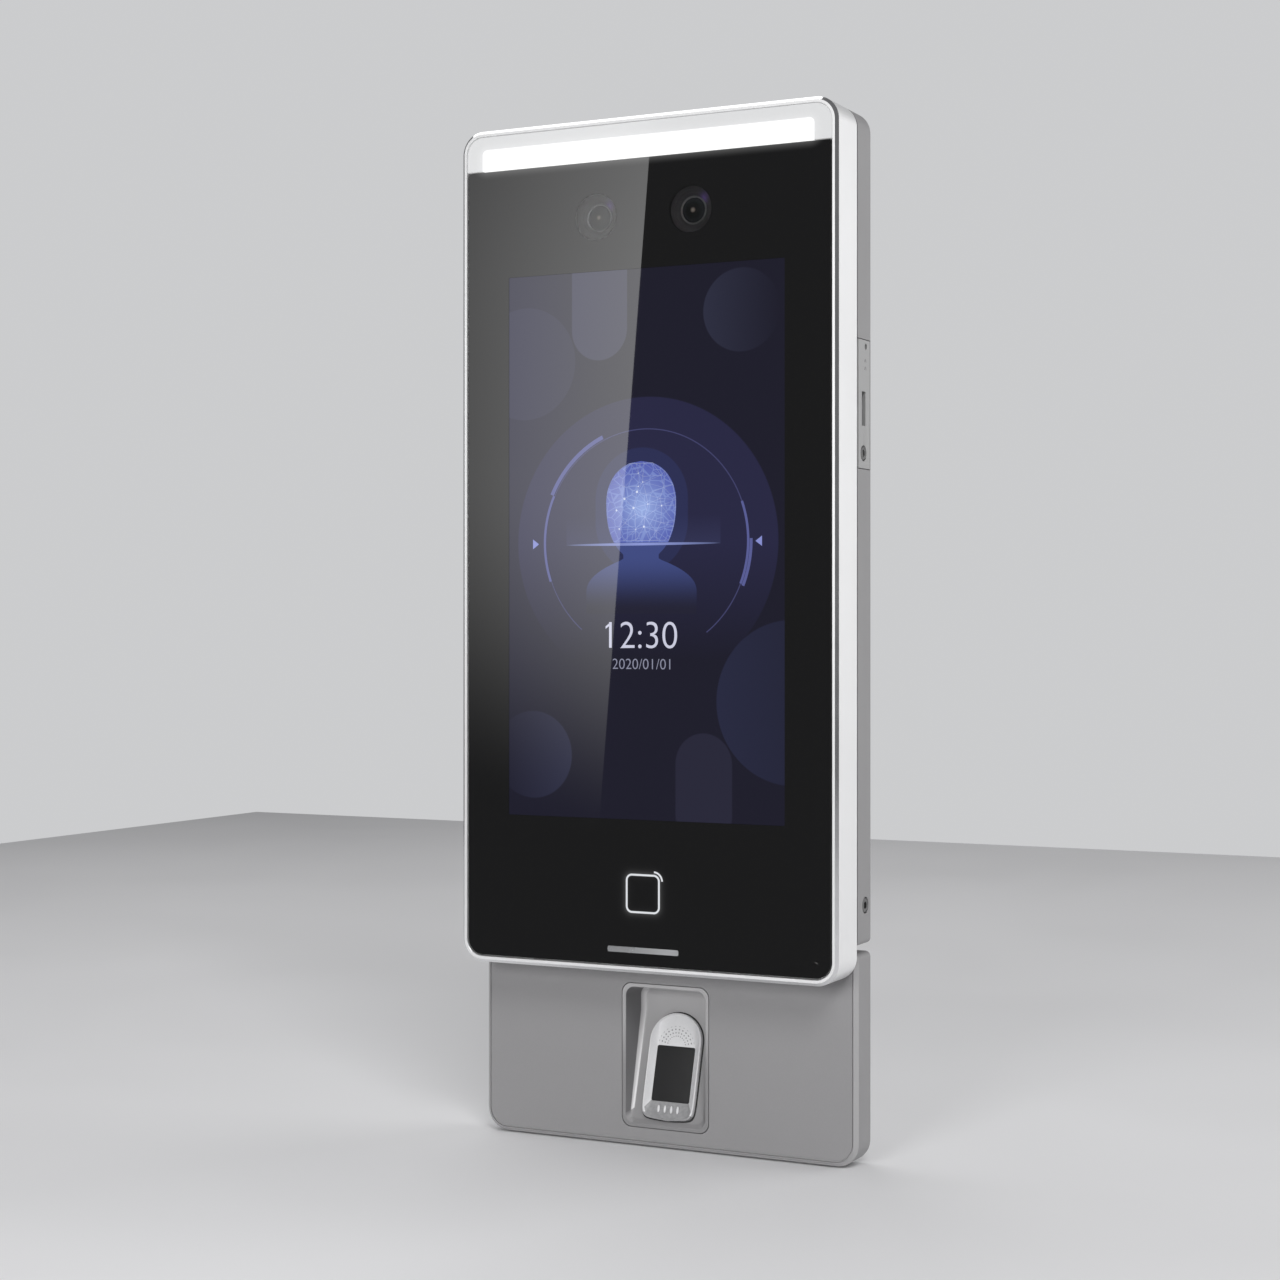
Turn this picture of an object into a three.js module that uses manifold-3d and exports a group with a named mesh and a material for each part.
// A wall-mounted face and fingerprint access terminal, in millimetres.
//
// Drawing frame: X to the right, Y up and Z out of the wall towards the user. Its origin lies on the
// wall, behind the middle of the main unit. The exported group turns the drawing so that +Z is up
// and the user stands at -Y.
import * as THREE from "three";
import { mergeVertices } from "three/addons/utils/BufferGeometryUtils.js";
import Module from "manifold-3d";

const wasm = await Module();
wasm.setup();

// ---------------------------------------------------------------- driving dimensions

const WIDTH = 117; // main unit and reader are equally wide
const MAIN_HEIGHT = 240;
const DEPTH = 28.5; // wall to the front lip
const CORNER = 6.5;
const FIT = 0.3; // gap between pieces that touch on the real object
const HALF = WIDTH / 2;
const TOP = MAIN_HEIGHT / 2;
const BOTTOM = -TOP;

// Front frame, a metal ring with a chamfered lip
const FRAME_BACK = 14.3;
const FRAME_WALL = 2.2;
const LIP_CHAMFER = 0.85;
const LIP_INSET = 1.65; // outside face to the glass well
const LEDGE_INSET = 4.5;
const LEDGE_BACK = 24.9;
const LEDGE_FRONT = 26.1;

// Cover glass and light panel
const GLASS_INSET = 2.1;
const GLASS_BACK = 26.7;
const GLASS_FRONT = DEPTH - 0.2;
const GLASS_TOP = 108.1;
const INLAY_DEPTH = 0.35;

// Display
const SCREEN_WIDTH = 85.92; // visible area of a 7 inch, 1024 x 600 panel
const SCREEN_HEIGHT = 154.2;

// Cameras
const CAMERA_X = 14.7;
const CAMERA_Y = 92.5;
const CAMERA_HOLE = 6.75;
const BARREL_RADIUS = 6.5;
const LENS_RADIUS = 6.1;

// Rear housing
const HOUSING_FRONT = 13.65;
const HOUSING_BACK = 3.1;
const HOUSING_WALL = 2.2;
const HOUSING_BOTTOM = -110.7;
const BACK_WALL = 2.0;
const HOUSING_FLOOR = HOUSING_BACK + BACK_WALL;

// Wall plate and its hooks
const PLATE = { half: 45, bottom: -90, top: 95, thick: 1.5 };
const CABLE_HOLE = { half: 25, bottom: -72, top: -28 };
const HOOKS = [
  [-38, 50],
  [38, 50],
  [-38, -8],
  [38, -8],
];
const HOOK_WIDTH = 8;
const LIFT = 5; // travel that frees the terminal from its hooks

// Wiring bay in the back
const BAY = { half: 37, bottom: -73, top: -29, floor: 15.5 };

// Right-hand service panel
const PANEL = { bottom: 20.5, top: 56, back: 4.5, front: 13.1, thick: 1.1 };
const RESET = { y: 54.2, z: 7.5, radius: 0.65 };
const PORT = { y: 37, z: 9.2, width: 8.8, height: 2.7 };
const PANEL_SCREW = { y: 24.7, z: 9.3 };
const LOCK_SCREW = { y: -99.9, z: 8.0 };

// Tamper switch
const TAMPER = { x: 0, y: 78 };

// Fingerprint reader below the main unit
const READER_TOP = -113;
const READER_BOTTOM = -171.6;
const READER_FRONT = 14.05;
const READER_CHAMFER = 1.1;
const POCKET = { half: 13.9, bottom: -166.6, top: -125, corner: 3, floor: 4.5 };
const POCKET_TILT = THREE.MathUtils.degToRad(16);
const POCKET_FOOT = { y: -165.2, z: 13.4 }; // where the sloping floor starts, under the front face
const SENSOR = { x: 0.4, start: 2.2, half: 8.15, height: 29.6 };
const WINDOW = { half: 6, from: 6.5, to: 22.4 };

// Housing screws: columns and rows of the six long screws
const HOUSING_SCREWS = [-1, 1].flatMap((side) => [112, 0, -92].map((y) => [side * 52.5, y]));
const DOCK_SCREWS = [-1, 1].flatMap((side) => [-104, -117.5].map((y) => [side * 12, y]));
const COVER_SCREWS = [-1, 1].map((side) => [side * 46, -145]);

const ARC_STEPS = 8; // facets in a quarter turn of a corner
const ROUND = 20; // facets of a small round

// ---------------------------------------------------------------- materials

function finish(color, roughness, metalness = 0) {
  return new THREE.MeshStandardMaterial({ color, roughness, metalness });
}

const satinMetal = finish(0xd9dadb, 0.35, 0.9);
const blackGlass = finish(0x0b0b0c, 0.05);
const whiteDiffuser = finish(0xf2f3f4, 0.4);
const greyPlastic = finish(0x929192, 0.6);
const lightGreyPlastic = finish(0xa3a3a3, 0.55);
const blackPlastic = finish(0x17181a, 0.55);
const rubber = finish(0x1b1b1b, 0.9);
const chrome = finish(0xdadcdd, 0.15, 1);
const sensorGlass = finish(0x202022, 0.12);
const lensGlass = finish(0x0a0c14, 0.03);
const screenGlass = finish(0x20202e, 0.08);
const circuitBoard = finish(0x14502c, 0.5);
const tinPlate = finish(0xb9bbbd, 0.35, 1);
const zincSteel = finish(0xa8adb3, 0.4, 1);
const screwSteel = finish(0x8d9094, 0.3, 1);
const signalWhite = finish(0xf4f6f8, 0.3);
const greenTerminal = finish(0x1f7a43, 0.45);
const copperFilm = finish(0xb4713a, 0.4, 0.3);

// ---------------------------------------------------------------- shape helpers

// Rectangle with a radius for each corner: bottom left, bottom right, top right, top left.
function rectangle(left, right, bottom, top, radii) {
  const [bl, br, tr, tl] = Array.isArray(radii) ? radii : [radii, radii, radii, radii];
  const quarter = Math.PI / 2;
  const shape = new THREE.Shape();
  shape.absarc(left + bl, bottom + bl, bl, 2 * quarter, 3 * quarter);
  shape.absarc(right - br, bottom + br, br, 3 * quarter, 4 * quarter);
  shape.absarc(right - tr, top - tr, tr, 0, quarter);
  shape.absarc(left + tl, top - tl, tl, quarter, 2 * quarter);
  shape.closePath();
  return shape;
}

function mainOutline(inset) {
  return rectangle(-HALF + inset, HALF - inset, BOTTOM + inset, TOP - inset, CORNER - inset * 0.9);
}

function housingOutline(inset) {
  const low = Math.max(0.4, 1.5 - inset);
  const high = CORNER - inset * 0.9;
  const bottom = HOUSING_BOTTOM + inset;
  return rectangle(-HALF + inset, HALF - inset, bottom, TOP - inset, [low, low, high, high]);
}

function readerOutline(inset) {
  const low = CORNER - inset * 0.9;
  const high = Math.max(0.4, 1.5 - inset);
  const bottom = READER_BOTTOM + inset;
  return rectangle(-HALF + inset, HALF - inset, bottom, READER_TOP - inset, [low, low, high, high]);
}

// A shape pushed from z = from to z = to.
function prism(shape, from, to, curveSegments = ARC_STEPS) {
  const settings = { depth: to - from, bevelEnabled: false, curveSegments };
  return new THREE.ExtrudeGeometry(shape, settings).translate(0, 0, from);
}

function box(x0, x1, y0, y1, z0, z1) {
  const size = new THREE.BoxGeometry(x1 - x0, y1 - y0, z1 - z0);
  return size.translate((x0 + x1) / 2, (y0 + y1) / 2, (z0 + z1) / 2);
}

function rodZ(x, y, z0, z1, radius, sides = ROUND) {
  const rod = new THREE.CylinderGeometry(radius, radius, z1 - z0, sides);
  return rod.rotateX(Math.PI / 2).translate(x, y, (z0 + z1) / 2);
}

function rodX(x0, x1, y, z, radius, sides = ROUND) {
  const rod = new THREE.CylinderGeometry(radius, radius, x1 - x0, sides);
  return rod.rotateZ(Math.PI / 2).translate((x0 + x1) / 2, y, z);
}

// A turned piece about the Z axis, from a profile of [radius, z] that starts and ends on the axis.
function turned(profile, sides = ROUND) {
  const points = profile.map(([radius, z]) => new THREE.Vector2(radius, z));
  return new THREE.LatheGeometry(points, sides).rotateX(Math.PI / 2);
}

// A solid skinned over outlines of equal point count, each at its own height.
function loft(sections) {
  const loops = sections.map(({ shape }) => openLoop(shape.getPoints(ARC_STEPS)));
  const count = loops[0].length;
  const positions = [];
  loops.forEach((loop, k) => loop.forEach((p) => positions.push(p.x, p.y, sections[k].z)));
  const index = [];
  for (let k = 0; k + 1 < loops.length; k++) {
    for (let i = 0; i < count; i++) {
      const j = (i + 1) % count;
      const [a, b, c, d] = [k * count + i, k * count + j, (k + 1) * count + j, (k + 1) * count + i];
      index.push(a, b, c, a, c, d);
    }
  }
  const top = (loops.length - 1) * count;
  for (const [a, b, c] of THREE.ShapeUtils.triangulateShape(loops[0], [])) index.push(c, b, a);
  for (const [a, b, c] of THREE.ShapeUtils.triangulateShape(loops.at(-1), [])) {
    index.push(top + a, top + b, top + c);
  }
  const geometry = new THREE.BufferGeometry();
  geometry.setAttribute("position", new THREE.Float32BufferAttribute(positions, 3));
  geometry.setIndex(index);
  return geometry;
}

// The outline's points once round, with repeated neighbours left out.
function openLoop(points) {
  const apart = (p, q) => p.distanceTo(q) > 1e-6;
  const once = points.filter((p, i) => i === 0 || apart(p, points[i - 1]));
  return apart(once[0], once.at(-1)) ? once : once.slice(0, -1);
}

// ---------------------------------------------------------------- joining and cutting

function toSolid(geometry) {
  const bare = new THREE.BufferGeometry();
  bare.setAttribute("position", geometry.getAttribute("position").clone());
  if (geometry.index) bare.setIndex(geometry.index.clone());
  const merged = mergeVertices(bare, 1e-4);
  const vertProperties = merged.getAttribute("position").array;
  const triVerts = new Uint32Array(merged.index.array);
  return new wasm.Manifold(new wasm.Mesh({ numProp: 3, vertProperties, triVerts }));
}

function toGeometry(solid) {
  const mesh = solid.getMesh();
  const positions = new Float32Array(mesh.numVert * 3);
  for (let i = 0; i < mesh.numVert; i++) {
    const start = i * mesh.numProp;
    positions.set(mesh.vertProperties.subarray(start, start + 3), i * 3);
  }
  const geometry = new THREE.BufferGeometry();
  geometry.setAttribute("position", new THREE.BufferAttribute(positions, 3));
  geometry.setIndex(new THREE.BufferAttribute(mesh.triVerts, 1));
  return geometry;
}

function joined(...pieces) {
  return toGeometry(pieces.map(toSolid).reduce((a, b) => a.add(b)));
}

function cut(body, ...tools) {
  return toGeometry(tools.map(toSolid).reduce((a, b) => a.subtract(b), toSolid(body)));
}

// ---------------------------------------------------------------- the scene graph

const assembly = new THREE.Group();
assembly.rotation.x = Math.PI / 2;

function add(name, geometry, material, parent = assembly) {
  geometry.computeVertexNormals();
  const mesh = new THREE.Mesh(geometry, material);
  mesh.name = name;
  parent.add(mesh);
  return mesh;
}

// ---------------------------------------------------------------- wall plate

function hook(x, y) {
  const half = HOOK_WIDTH / 2;
  const stem = box(x - half, x + half, y, y + 1.5, PLATE.thick - 0.5, 7);
  const finger = box(x - half, x + half, y, y + LIFT + 0.6, HOUSING_FLOOR + 0.4, 7);
  return [stem, finger];
}

function wallPlate() {
  const sheet = rectangle(-PLATE.half, PLATE.half, PLATE.bottom, PLATE.top, 4);
  const ear = box(38, 46, -103, PLATE.bottom + 2, 0, PLATE.thick);
  const lockTab = box(44.5, 46, -102.9, -97, PLATE.thick - 0.5, 10.2);
  const { half, bottom, top } = CABLE_HOLE;
  const boxScrews = [-1, 1].map((side) => rodZ(side * 30.15, -50, -1, 3, 2.2, 16));
  const anchors = [-38, 38].flatMap((x) => [85, -80].map((y) => rodZ(x, y, -1, 3, 2.5, 16)));
  return cut(
    joined(prism(sheet, 0, PLATE.thick), ear, lockTab, ...HOOKS.flatMap(([x, y]) => hook(x, y))),
    prism(rectangle(-half, half, bottom, top, 3), -1, 3),
    ...boxScrews,
    ...anchors,
    rodX(43, 48, LOCK_SCREW.y, LOCK_SCREW.z, 1.7, 12),
  );
}

add("wall_plate", wallPlate(), zincSteel);

// ---------------------------------------------------------------- front frame, glass and light panel

function frontFrame() {
  const body = loft([
    { shape: mainOutline(0), z: FRAME_BACK },
    { shape: mainOutline(0), z: DEPTH - LIP_CHAMFER },
    { shape: mainOutline(LIP_CHAMFER), z: DEPTH },
  ]);
  const ring = cut(
    body,
    prism(mainOutline(LIP_INSET), LEDGE_FRONT, DEPTH + 1),
    prism(mainOutline(LEDGE_INSET), FRAME_BACK - 1, DEPTH + 1),
    prism(mainOutline(FRAME_WALL), FRAME_BACK - 1, LEDGE_BACK),
  );
  const lugs = HOUSING_SCREWS.map(([x, y]) => {
    const reach = Math.sign(x) * (HALF - FRAME_WALL / 2);
    return box(Math.min(x - 3, reach), Math.max(x + 3, reach), y - 3, y + 3, FRAME_BACK, 18.3);
  });
  const flange = box(-HALF + 1, HALF - 1, BOTTOM + 1, HOUSING_BOTTOM + 4, FRAME_BACK, FRAME_BACK + 1.5);
  const screwHoles = HOUSING_SCREWS.map(([x, y]) => rodZ(x, y, FRAME_BACK - 1, 20, 1.5, 12));
  const speakerSlots = [0, 1, 2, 3, 4].map((i) => {
    const x = -42 + i * 5;
    return box(x, x + 3, BOTTOM - 1, BOTTOM + 4, 19.5, 20.9);
  });
  return cut(joined(ring, ...lugs, flange), ...screwHoles, ...speakerSlots);
}

add("front_frame", frontFrame(), satinMetal);

const gasketRing = cut(
  prism(mainOutline(GLASS_INSET), LEDGE_FRONT + 0.1, GLASS_BACK - 0.2),
  prism(mainOutline(LEDGE_INSET), LEDGE_FRONT - 1, GLASS_BACK + 1),
);
add("glass_gasket", gasketRing, rubber);

const MIC = { x: 52.2, y: -113.6 };
const ICON = { x: 0, y: -97.7, half: 5.3, high: 5.5, corner: 1.9, line: 0.55 };
const BADGE = { y: -113.6, half: 11, high: 0.8 };

function iconShape(grow) {
  const { half, high, corner, x, y } = ICON;
  return rectangle(x - half - grow, x + half + grow, y - high - grow, y + high + grow, corner + grow);
}

function iconRing(slack) {
  const zone = [GLASS_FRONT - INLAY_DEPTH - slack, GLASS_FRONT + slack];
  const hole = prism(iconShape(-ICON.line - slack), zone[0] - 1, zone[1] + 1);
  return cut(prism(iconShape(slack), ...zone), hole);
}

function iconArc(slack) {
  const arc = new THREE.Shape();
  const [inner, outer] = [ICON.corner + 0.45 - slack, ICON.corner + 0.95 + slack];
  const centre = [ICON.x + ICON.half - ICON.corner, ICON.y + ICON.high - ICON.corner];
  arc.absarc(...centre, outer, 0.05 - slack * 0.1, Math.PI / 2 - 0.05 + slack * 0.1);
  arc.absarc(...centre, inner, Math.PI / 2 - 0.05 + slack * 0.1, 0.05 - slack * 0.1, true);
  arc.closePath();
  return prism(arc, GLASS_FRONT - INLAY_DEPTH - slack, GLASS_FRONT + slack);
}

function badge(slack) {
  const { half, high, y } = BADGE;
  const bar = rectangle(-half - slack, half + slack, y - high - slack, y + high + slack, high * 0.98);
  return prism(bar, GLASS_FRONT - INLAY_DEPTH - slack, GLASS_FRONT + slack);
}

function frontGlass() {
  const low = CORNER - GLASS_INSET * 0.9;
  const edges = [-HALF + GLASS_INSET, HALF - GLASS_INSET, BOTTOM + GLASS_INSET, GLASS_TOP];
  const cameraHoles = [-CAMERA_X, CAMERA_X].map((x) => {
    return rodZ(x, CAMERA_Y, GLASS_BACK - 1, DEPTH + 1, CAMERA_HOLE, 24);
  });
  return cut(
    prism(rectangle(...edges, [low, low, 0.3, 0.3]), GLASS_BACK, GLASS_FRONT),
    ...cameraHoles,
    rodZ(MIC.x, MIC.y, GLASS_BACK - 1, DEPTH + 1, 0.5, 10),
    iconRing(0.1),
    iconArc(0.1),
    badge(0.1),
  );
}

add("front_glass", frontGlass(), blackGlass);
add("icon_ring", iconRing(0), signalWhite);
add("icon_arc", iconArc(0), signalWhite);
add("badge_inlay", badge(0), chrome);

function lightPanel() {
  const corner = CORNER - GLASS_INSET * 0.9;
  const edges = [-HALF + GLASS_INSET, HALF - GLASS_INSET, GLASS_TOP + 0.2, TOP - GLASS_INSET];
  return prism(rectangle(...edges, [0.3, 0.3, corner, corner]), GLASS_BACK, GLASS_FRONT);
}

add("light_panel", lightPanel(), whiteDiffuser);

function lightBoard() {
  const leds = Array.from({ length: 12 }, (_, i) => {
    const x = -49.5 + i * 9;
    return box(x - 1.4, x + 1.4, 109.6, 112.4, 23, 24.2);
  });
  return joined(box(-53, 53, 108.2, 114.2, 22, 23.2), ...leds);
}

add("light_board", lightBoard(), circuitBoard);

// ---------------------------------------------------------------- display and cameras

const panelHalf = SCREEN_WIDTH / 2 + 2.5;
const panelHigh = SCREEN_HEIGHT / 2 + 2.4;
add("display_panel", box(-panelHalf, panelHalf, -panelHigh, panelHigh, 25, 26.3), screenGlass);
const trayShape = rectangle(-48.5, 48.5, -81.5, 81.5, 1.5);
add("display_tray", prism(trayShape, 22, 24.7, 2), tinPlate);

function cameraBarrel() {
  const tube = turned([[0, 18.4], [BARREL_RADIUS, 18.4], [BARREL_RADIUS, 27.6], [0, 27.6]], 24);
  const holder = box(-7.5, 7.5, -7.5, 7.5, 18.4, 22);
  const seat = rodZ(0, 0, 25, 29, LENS_RADIUS + 0.2, 24);
  return cut(joined(tube, holder), seat, rodZ(0, 0, 17, 26, 2, 16));
}

function cameraLens() {
  const [edge, crown, steps] = [27.3, 28.15, 4];
  const dome = Array.from({ length: steps + 1 }, (_, i) => {
    const turn = (i / steps) * (Math.PI / 2);
    return [LENS_RADIUS * Math.cos(turn), edge + (crown - edge) * Math.sin(turn)];
  });
  return turned([[0, 25.2], [LENS_RADIUS - 0.05, 25.2], ...dome.slice(0, -1), [0, crown]], 24);
}

for (const [side, x] of [["left", -CAMERA_X], ["right", CAMERA_X]]) {
  const camera = new THREE.Group();
  camera.position.set(x, CAMERA_Y, 0);
  assembly.add(camera);
  add(`camera_${side}_barrel`, cameraBarrel(), blackPlastic, camera);
  add(`camera_${side}_lens`, cameraLens(), lensGlass, camera);
}
add("camera_board", box(-26, 26, 83.5, 101.5, 16.9, 18.1), circuitBoard);

// ---------------------------------------------------------------- boards behind the display

const antennaTurns = cut(
  box(-17, 17, -113, -83.5, 23.2, 24.4),
  cut(box(-14, 14, -110.5, -86, 24, 25), box(-12.5, 12.5, -109, -87.5, 23, 26)),
);
add("antenna_board", antennaTurns, circuitBoard);
add("microphone", rodZ(MIC.x, MIC.y, 23.8, 26.4, 1.3, 12), tinPlate);

function speaker() {
  const can = prism(rectangle(-46, -18.5, -112.5, -95.5, 2), 17, 24, 3);
  return cut(can, rodZ(-32.2, -104, 15, 18, 6, 20));
}
add("speaker", speaker(), blackPlastic);

const boardNotch = [-1, 1].map((side) => box(side * 47 - 2, side * 47 + 2, -4, 4, 18, 22));
add("main_board", cut(box(-48, 48, -80, 76, 19.4, 21), ...boardNotch), circuitBoard);
add("processor_shield", prism(rectangle(-20, 16, 12, 46, 1), 16.8, 19.2, 1), tinPlate);
add("coin_cell", turned([[0, 15.8], [6, 15.8], [6, 19.2], [0, 19.2]]).translate(34, 8, 0), tinPlate);

// ---------------------------------------------------------------- rear housing

function hookSlot(x, y) {
  const half = HOOK_WIDTH / 2 + 0.5;
  return box(x - half, x + half, y - LIFT - 0.4, y + 1.8, HOUSING_BACK - 1, HOUSING_FLOOR + 1);
}

function rearHousing() {
  const body = loft([
    { shape: housingOutline(1), z: HOUSING_BACK },
    { shape: housingOutline(0), z: HOUSING_BACK + 1 },
    { shape: housingOutline(0), z: HOUSING_FRONT },
  ]);
  const shell = cut(body, prism(housingOutline(HOUSING_WALL), HOUSING_FLOOR, HOUSING_FRONT + 1));
  // The rim stands up inside the front frame and closes the groove between the two.
  const rim = cut(
    prism(housingOutline(FRAME_WALL + FIT), HOUSING_FRONT - 3, FRAME_BACK + 1.2),
    prism(housingOutline(FRAME_WALL + 1.3), HOUSING_FRONT - 4, FRAME_BACK + 2),
    box(-HALF, HALF, HOUSING_BOTTOM - 1, HOUSING_BOTTOM + 4.4, HOUSING_FRONT - 0.1, FRAME_BACK + 2),
    ...HOUSING_SCREWS.map(([x, y]) => box(x - 8, x + 8, y - 3.3, y + 3.3, HOUSING_FRONT - 0.1, 20)),
  );
  const rimFoot = cut(
    prism(housingOutline(HOUSING_WALL - 0.4), HOUSING_FRONT - 3, HOUSING_FRONT - 0.1),
    prism(housingOutline(FRAME_WALL + 1.3), HOUSING_FRONT - 4, FRAME_BACK + 2),
  );
  const posts = HOUSING_SCREWS.map(([x, y]) => rodZ(x, y, HOUSING_BACK + 1.7, HOUSING_FRONT - 0.1, 3, 16));
  const heads = HOUSING_SCREWS.map(([x, y]) => rodZ(x, y, HOUSING_BACK - 1, HOUSING_BACK + 1.6, 2.8, 16));
  const shanks = HOUSING_SCREWS.map(([x, y]) => rodZ(x, y, HOUSING_BACK - 1, HOUSING_FRONT + 1, 1.5, 12));
  const panelSeat = HALF - PANEL.thick - 0.1;
  return cut(
    joined(shell, rim, rimFoot, ...posts),
    ...heads,
    ...shanks,
    ...HOOKS.map(([x, y]) => hookSlot(x, y)),
    box(-BAY.half, BAY.half, BAY.bottom, BAY.top, HOUSING_BACK - 1, HOUSING_FLOOR + 1),
    box(panelSeat, HALF + 1, PANEL.bottom - 0.2, PANEL.top + 0.2, PANEL.back - 0.2, HOUSING_FRONT + 1),
    box(HALF - 4, HALF, 29, 55.4, 6, 12),
    rodX(HALF - 6, HALF + 1, PANEL_SCREW.y, PANEL_SCREW.z, 1.2, 12),
    rodX(HALF - 0.9, HALF + 1, LOCK_SCREW.y, LOCK_SCREW.z, 2.35, 20),
    rodX(HALF - 6, HALF + 1, LOCK_SCREW.y, LOCK_SCREW.z, 1.7, 12),
    box(43.3, 47.2, -108.2, -96.5, HOUSING_BACK - 1, HOUSING_FLOOR + 1),
    rodZ(TAMPER.x, TAMPER.y, HOUSING_BACK - 1, HOUSING_FLOOR + 1, 2.4, 16),
    box(15.5, 25.5, HOUSING_BOTTOM - 1, HOUSING_BOTTOM + 3, 7.2, 9.2),
    ...DOCK_SCREWS.filter(([, y]) => y > HOUSING_BOTTOM).map(([x, y]) => rodZ(x, y, 2, 6, 1.5, 12)),
  );
}

add("rear_housing", rearHousing(), greyPlastic);

// A screw along Z with its head's top at z = 0 and its shank towards -Z.
function screw(headRadius, headHeight, shankRadius, length, sides = 16) {
  const body = turned([
    [0, -length],
    [shankRadius, -length],
    [shankRadius, -headHeight],
    [headRadius, -headHeight],
    [headRadius, -0.25],
    [headRadius - 0.25, 0],
    [0, 0],
  ], sides);
  const socket = new THREE.CylinderGeometry(headRadius * 0.5, headRadius * 0.5, headHeight * 1.2, 6);
  return cut(body, socket.rotateX(Math.PI / 2));
}

function addScrew(name, geometry, position, facing) {
  const mesh = add(name, geometry, screwSteel);
  mesh.position.set(...position);
  if (facing === "wall") mesh.rotation.y = Math.PI;
  if (facing === "side") mesh.rotation.y = Math.PI / 2;
}

HOUSING_SCREWS.forEach(([x, y], i) => {
  addScrew(`housing_screw_${i + 1}`, screw(2.6, 1.3, 1.3, 14), [x, y, HOUSING_BACK + 0.15], "wall");
});

// ---------------------------------------------------------------- service panel and its ports

function portPanel() {
  const inner = HALF - PANEL.thick;
  const { width, height, y, z } = PORT;
  return cut(
    box(inner, HALF, PANEL.bottom, PANEL.top, PANEL.back, PANEL.front),
    rodX(inner - 1, HALF + 1, RESET.y, RESET.z, RESET.radius + 0.2, 12),
    box(inner - 1, HALF + 1, y - width / 2 - 0.3, y + width / 2 + 0.3, z - height / 2, z + height / 2),
    rodX(HALF - 0.6, HALF + 1, PANEL_SCREW.y, PANEL_SCREW.z, 2.2, 20),
    rodX(inner - 1, HALF + 1, PANEL_SCREW.y, PANEL_SCREW.z, 1.2, 12),
  );
}

add("port_panel", portPanel(), lightGreyPlastic);
addScrew("port_panel_screw", screw(2.05, 0.5, 1, 5.5), [HALF - 0.05, PANEL_SCREW.y, PANEL_SCREW.z], "side");
addScrew("lock_screw", screw(2.15, 0.8, 1.5, 11), [HALF - 0.05, LOCK_SCREW.y, LOCK_SCREW.z], "side");
add("port_board", box(38, 54, 26, 58, 10.9, 12.3), circuitBoard);

function servicePort() {
  const [mouth, depth] = [HALF - PANEL.thick - 0.3, 7.3];
  const { width, height, y, z } = PORT;
  const shell = box(mouth - depth, mouth, y - width / 2, y + width / 2, z - height / 2, z + height / 2);
  const inside = [y - width / 2 + 0.4, y + width / 2 - 0.4, z - height / 2 + 0.4, z + height / 2 - 0.4];
  const tongue = box(mouth - depth + 1, mouth - 1.5, y - 3, y + 3, z - 0.3, z + 0.3);
  return joined(cut(shell, box(mouth - depth + 1.5, mouth + 1, ...inside)), tongue);
}

add("service_port", servicePort(), tinPlate);
add("reset_switch", box(47.8, 51.8, RESET.y - 2.2, RESET.y + 2.2, 5.6, 10.6), blackPlastic);
add("reset_button", rodX(52.3, HALF - 0.6, RESET.y, RESET.z, RESET.radius, 12), blackPlastic);

// ---------------------------------------------------------------- tamper switch

function tamperSwitch() {
  const { x, y } = TAMPER;
  const body = box(x - 6, x + 6, y - 5, y + 5, 8.6, 13);
  const legs = [-1, 1].map((side) => box(x + side * 5 - 1, x + side * 5 + 1, y - 5, y + 5, 5.3, 9));
  return cut(joined(body, ...legs), rodZ(x, y, 8, 11.3, 1.5, 12));
}

add("tamper_switch", tamperSwitch(), blackPlastic);
const plunger = turned([[0, 1.8], [1.6, 1.8], [2, 2.3], [2, 7.2], [1.25, 7.2], [1.25, 9.8], [0, 9.8]], 16);
add("tamper_plunger", plunger.translate(TAMPER.x, TAMPER.y, 0), signalWhite);

// ---------------------------------------------------------------- wiring bay

function wiringBay() {
  const { half, bottom, top, floor } = BAY;
  const [gap, wall] = [0.3, 1.5];
  const outer = box(-half + gap, half - gap, bottom + gap, top - gap, HOUSING_BACK + 0.2, floor + wall);
  const hollow = box(-half + gap + wall, half - gap - wall, bottom + gap + wall, top - gap - wall, 2, floor);
  return cut(outer, hollow);
}

add("wiring_bay", wiringBay(), blackPlastic);
add("terminal_board", box(-34.5, 34.5, -70.5, -31.5, 13.9, 15.3), circuitBoard);

function networkSocket() {
  const [left, right, bottom, top] = [-33, -17, -58, -43];
  const shell = box(left, right, bottom, top, 7.2, 13.7);
  const mouth = box(left + 1.6, right - 1.6, bottom + 2.4, top - 1.4, 6, 12.6);
  const latch = box(left + 5, right - 5, bottom + 1, top - 1.4, 6, 12.6);
  return cut(shell, mouth, latch);
}

add("network_socket", networkSocket(), tinPlate);

function terminalBlock(ways, bottom) {
  const [left, pitch, width] = [-11, 5, 9];
  const body = box(left, left + ways * pitch + 1, bottom, bottom + width, 7.2, 13.7);
  const mouths = Array.from({ length: ways }, (_, i) => {
    const x = left + 1 + i * pitch;
    return box(x, x + pitch - 1, bottom + 1.5, bottom + width - 1.5, 6, 12);
  });
  return cut(body, ...mouths);
}

add("terminal_block_power", terminalBlock(8, -46), greenTerminal);
add("terminal_block_door", terminalBlock(8, -64), greenTerminal);

// ---------------------------------------------------------------- fingerprint reader

// A large block that lies under the reader's sloping floor, lowered by depth along its normal.
function underSlope(depth) {
  const block = box(-40, 40, -60, 100, -60, -depth);
  return block.rotateX(-POCKET_TILT).translate(0, POCKET_FOOT.y, POCKET_FOOT.z);
}

function pocketPrism(inset, from, to) {
  const { half, bottom, top, corner } = POCKET;
  const edges = [-half + inset, half - inset, bottom + inset, top - inset];
  return prism(rectangle(...edges, corner - inset), from, to, 4);
}

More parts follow.
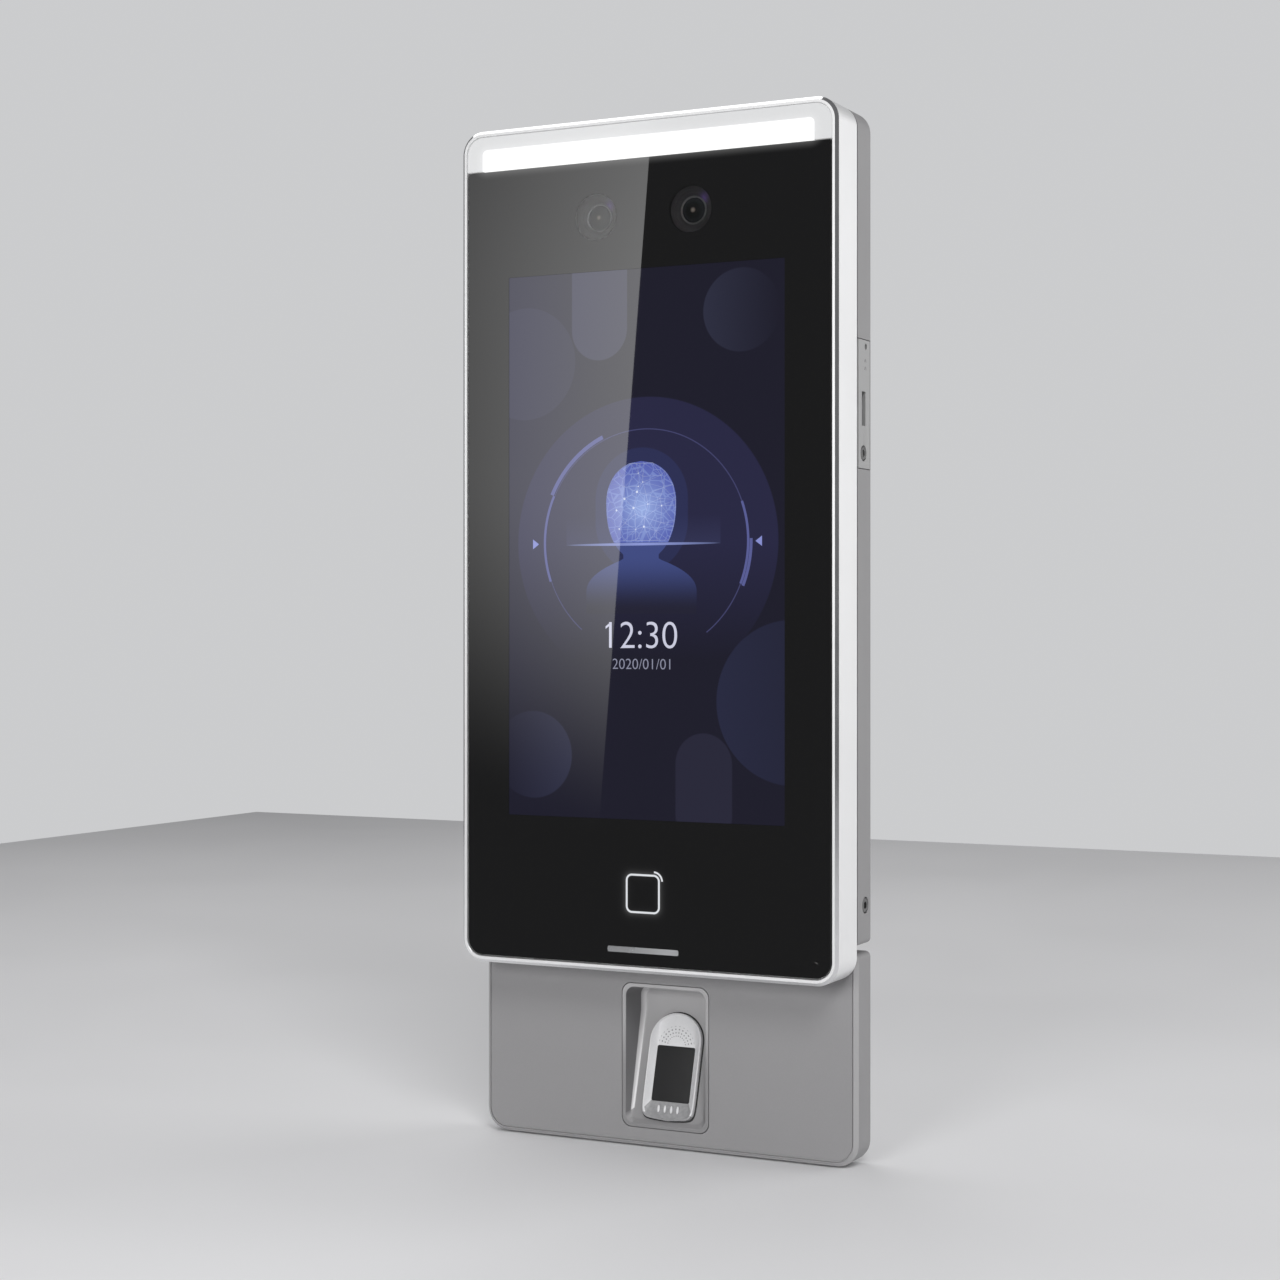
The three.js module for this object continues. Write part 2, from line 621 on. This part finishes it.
function readerShell() {
  const body = loft([
    { shape: readerOutline(1), z: HOUSING_BACK },
    { shape: readerOutline(0), z: HOUSING_BACK + 1 },
    { shape: readerOutline(0), z: READER_FRONT - READER_CHAMFER },
    { shape: readerOutline(READER_CHAMFER), z: READER_FRONT },
  ]);
  return cut(
    body,
    prism(readerOutline(HOUSING_WALL), HOUSING_BACK - 1, READER_FRONT - 2.2),
    pocketPrism(0, READER_FRONT - 5, READER_FRONT + 1),
    box(15.5, 25.5, READER_TOP - 4, READER_TOP + 1, 7.2, 9.2),
  );
}

add("reader_shell", readerShell(), greyPlastic);

function pocketInsert() {
  const [rim, wall] = [1.3, 1];
  const sleeve = pocketPrism(FIT, POCKET.floor - wall, READER_FRONT);
  const room = cut(pocketPrism(rim, POCKET.floor, READER_FRONT + 1), underSlope(0));
  return cut(sleeve, room, underSlope(wall));
}

add("pocket_insert", pocketInsert(), greyPlastic);

// Sensor parts are drawn flat, with Y up the slope and Z out of it, and turned as one group.
const slope = new THREE.Group();
slope.position.set(SENSOR.x, POCKET_FOOT.y, POCKET_FOOT.z);
slope.rotation.x = -POCKET_TILT;
assembly.add(slope);

function bezelOutline() {
  const { half, start, height } = SENSOR;
  const shoulder = start + height - half;
  const sag = 1.2;
  const outline = new THREE.Shape();
  outline.moveTo(-half, start + sag);
  outline.quadraticCurveTo(0, start - sag, half, start + sag);
  outline.lineTo(half, shoulder);
  outline.absarc(0, shoulder, half, 0, Math.PI);
  outline.closePath();
  return outline;
}

function sensorBezel() {
  const edges = [-WINDOW.half - 0.1, WINDOW.half + 0.1, WINDOW.from - 0.1, WINDOW.to + 0.1];
  return cut(prism(bezelOutline(), 0.15, 1.3, 10), prism(rectangle(...edges, 0.3), -1, 3, 1));
}

add("sensor_bezel", sensorBezel(), chrome, slope);
const windowPane = box(-WINDOW.half, WINDOW.half, WINDOW.from, WINDOW.to, 0.15, 0.75);
add("sensor_window", windowPane, sensorGlass, slope);
const sensorTail = box(8, 22, 10, 18, -2.3, -1.3);
add("sensor_board", joined(box(-10, 10, 4, 18, -2.3, -1.3), sensorTail), circuitBoard, slope);

function readerRearCover() {
  const plate = prism(readerOutline(HOUSING_WALL + FIT), HOUSING_BACK + 0.2, 5.2);
  const boss = prism(rectangle(-16, 16, -145, -123.2, 2), 1.9, HOUSING_BACK + 1, 3);
  const room = prism(rectangle(-15, 15, -144, -124.2, 1.2), 3.1, 7, 3);
  return cut(
    joined(plate, boss),
    room,
    ...DOCK_SCREWS.filter(([, y]) => y < HOUSING_BOTTOM).map(([x, y]) => rodZ(x, y, 2, 6, 1.5, 12)),
    ...COVER_SCREWS.map(([x, y]) => rodZ(x, y, 2, 6, 1.5, 12)),
    ...COVER_SCREWS.map(([x, y]) => rodZ(x, y, 2, HOUSING_BACK + 1.4, 2.5, 16)),
  );
}

add("reader_rear_cover", readerRearCover(), greyPlastic);
COVER_SCREWS.forEach(([x, y], i) => {
  addScrew(`cover_screw_${i + 1}`, screw(2.2, 1, 1.3, 7), [x, y, HOUSING_BACK + 0.35], "wall");
});
add("reader_cable", box(16.5, 24.5, -150, -86, 8.05, 8.35), copperFilm);

const sealRing = cut(
  box(12, 29, READER_TOP + 0.2, HOUSING_BOTTOM - 0.2, 5, 11.5),
  box(16, 25, READER_TOP - 1, HOUSING_BOTTOM + 1, 7.4, 9),
);
add("dock_seal", sealRing, rubber);

function dockBracket() {
  const holes = DOCK_SCREWS.map(([x, y]) => rodZ(x, y, 0, 4, 1.6, 12));
  return cut(prism(rectangle(-20, 20, -122, -98, 2.5), 1.4, 2.8, 3), ...holes);
}

add("dock_bracket", dockBracket(), zincSteel);
DOCK_SCREWS.forEach(([x, y], i) => {
  addScrew(`dock_screw_${i + 1}`, screw(2.4, 0.95, 1.3, 6), [x, y, 0.3], "wall");
});

export default assembly;
